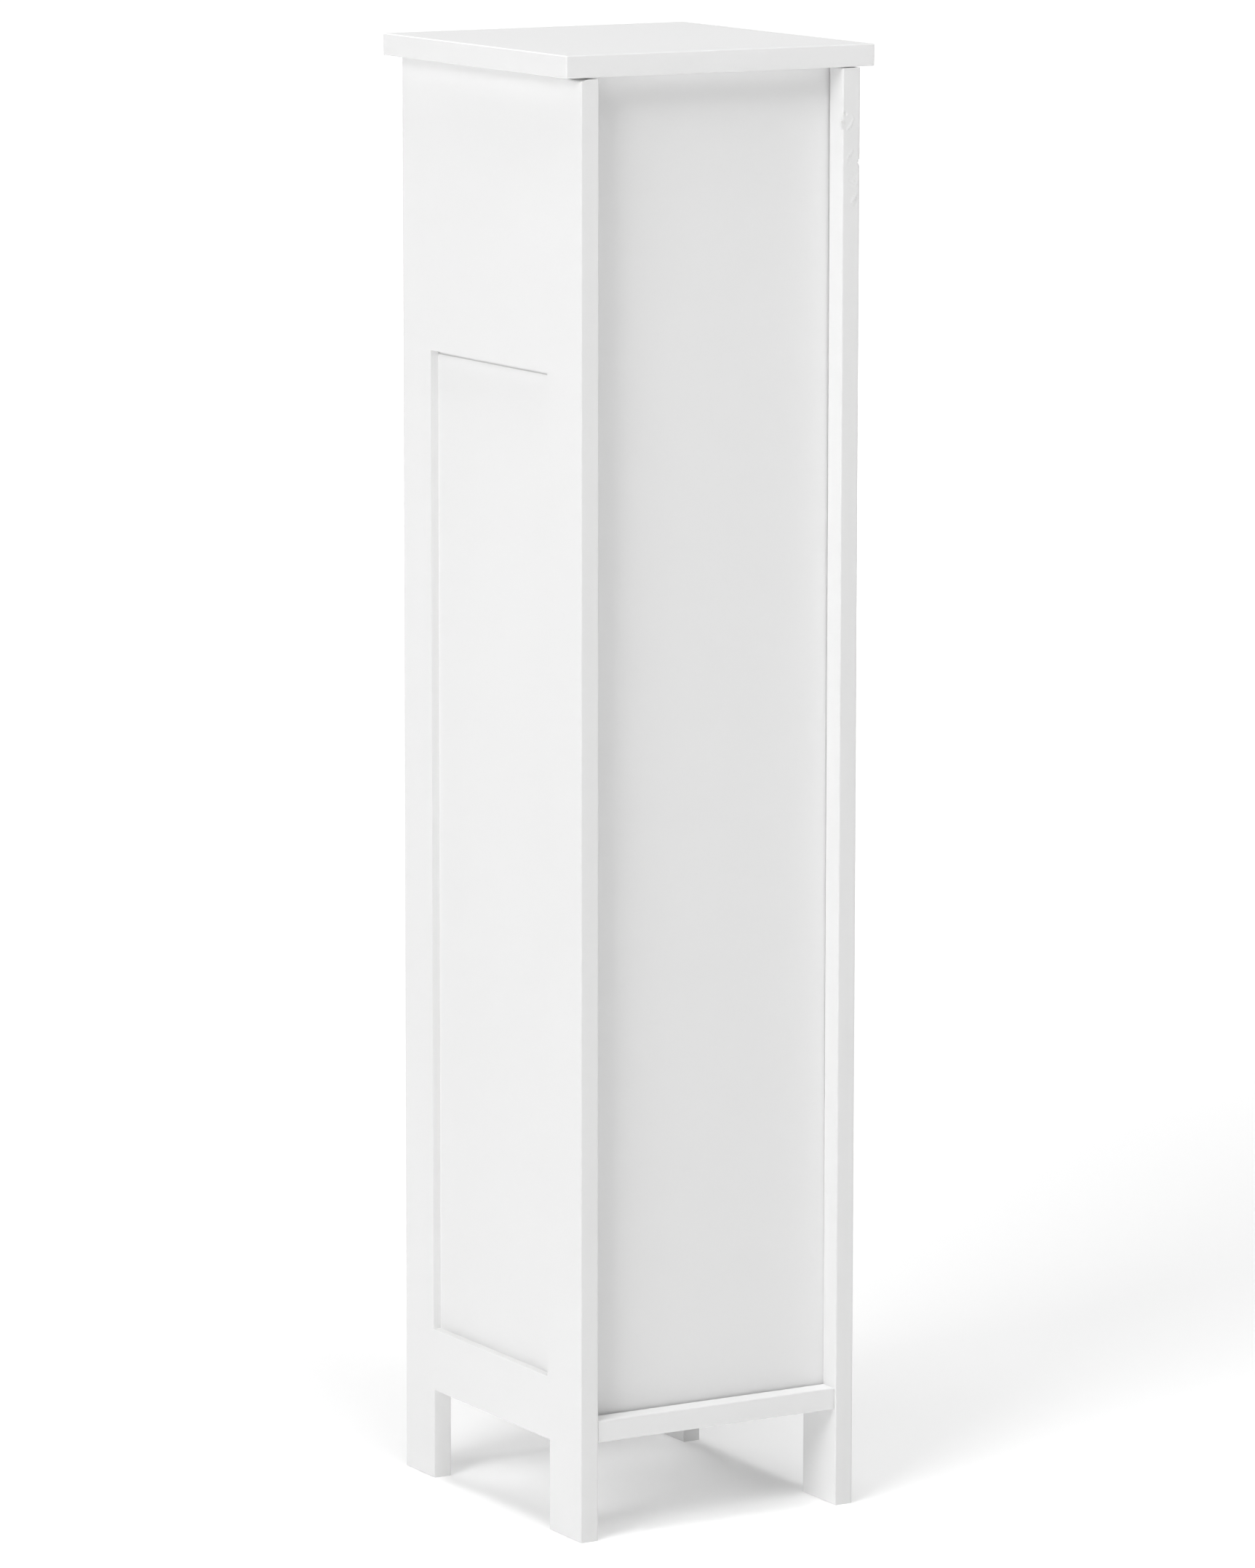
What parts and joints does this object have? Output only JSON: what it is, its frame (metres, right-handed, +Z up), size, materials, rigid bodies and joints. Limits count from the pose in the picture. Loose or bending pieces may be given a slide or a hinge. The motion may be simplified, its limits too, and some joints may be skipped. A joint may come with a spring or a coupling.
{
  "type": "toilet roll cabinet",
  "caption": "Slim free-standing bathroom cabinet on four legs, with an open toilet roll niche and sprung roller under the top and a hinged door over the spare roll cupboard.",
  "frame": {"origin": "on the floor, under the middle of the whole outline, knob included", "axes": "+Z up, -Y out of the door and the niche, +X to the right of someone who faces the door"},
  "size_m": [0.19, 0.218, 0.8],
  "materials": {
    "white_board": "fibreboard in a smooth satin white lacquer, with a slight orange peel",
    "white_back": "thin hardboard with a flat white face",
    "nickel": "satin nickel plate",
    "zinc": "dull zinc plate",
    "beech": "plain fluted hardwood",
    "white_plastic": "white moulded plastic, slightly glossy",
    "magnet": "dark ferrite magnet"
  },
  "bodies": {
    "carcass": {"top_board": "white_board", "side_panel_left": "white_board", "side_panel_right": "white_board", "base_board": "white_board", "niche_floor": "white_board", "back_panel": "white_back", "shelf": "white_board", "shelf_pins": "nickel", "upper_hinge_frame_leaf": "nickel", "upper_hinge_pin": "nickel", "lower_hinge_frame_leaf": "nickel", "lower_hinge_pin": "nickel", "hinge_frame_screws": "nickel", "catch_case": "white_plastic", "catch_magnet": "magnet", "catch_pole_plates": "zinc", "catch_screws": "zinc", "roller_socket_left": "white_plastic", "roller_socket_right": "white_plastic", "socket_screws": "zinc", "cam_locks": "zinc", "cam_bolts": "zinc", "dowels": "beech"},
    "door": {"door_panel": "white_board", "door_knob": "nickel", "knob_screw": "zinc", "upper_hinge_door_leaf": "nickel", "lower_hinge_door_leaf": "nickel", "hinge_door_screws": "nickel", "strike_plate": "zinc", "strike_screw": "zinc"},
    "roller": {"roller_outer_tube": "white_plastic", "roller_spring": "zinc"},
    "roller_end": {"roller_inner_tube": "white_plastic"}
  },
  "joints": [
    {"name": "door_swing", "type": "hinge", "parent": "carcass", "child": "door", "pos_m": [-0.074, -0.08862, 0.348], "axis": [0, 0, -1], "range_deg": [0, 180]},
    {"name": "roller_spin", "type": "hinge", "parent": "carcass", "child": "roller", "pos_m": [0, -0.004, 0.715], "axis": [1, 0, 0], "continuous": true},
    {"name": "roller_squeeze", "type": "slide", "parent": "roller", "child": "roller_end", "axis": [-1, 0, 0], "range_m": [0, 0.008], "stiffness_N_per_m": 300, "springref_m": -0.012, "deforming": ["roller_spring"]}
  ]
}
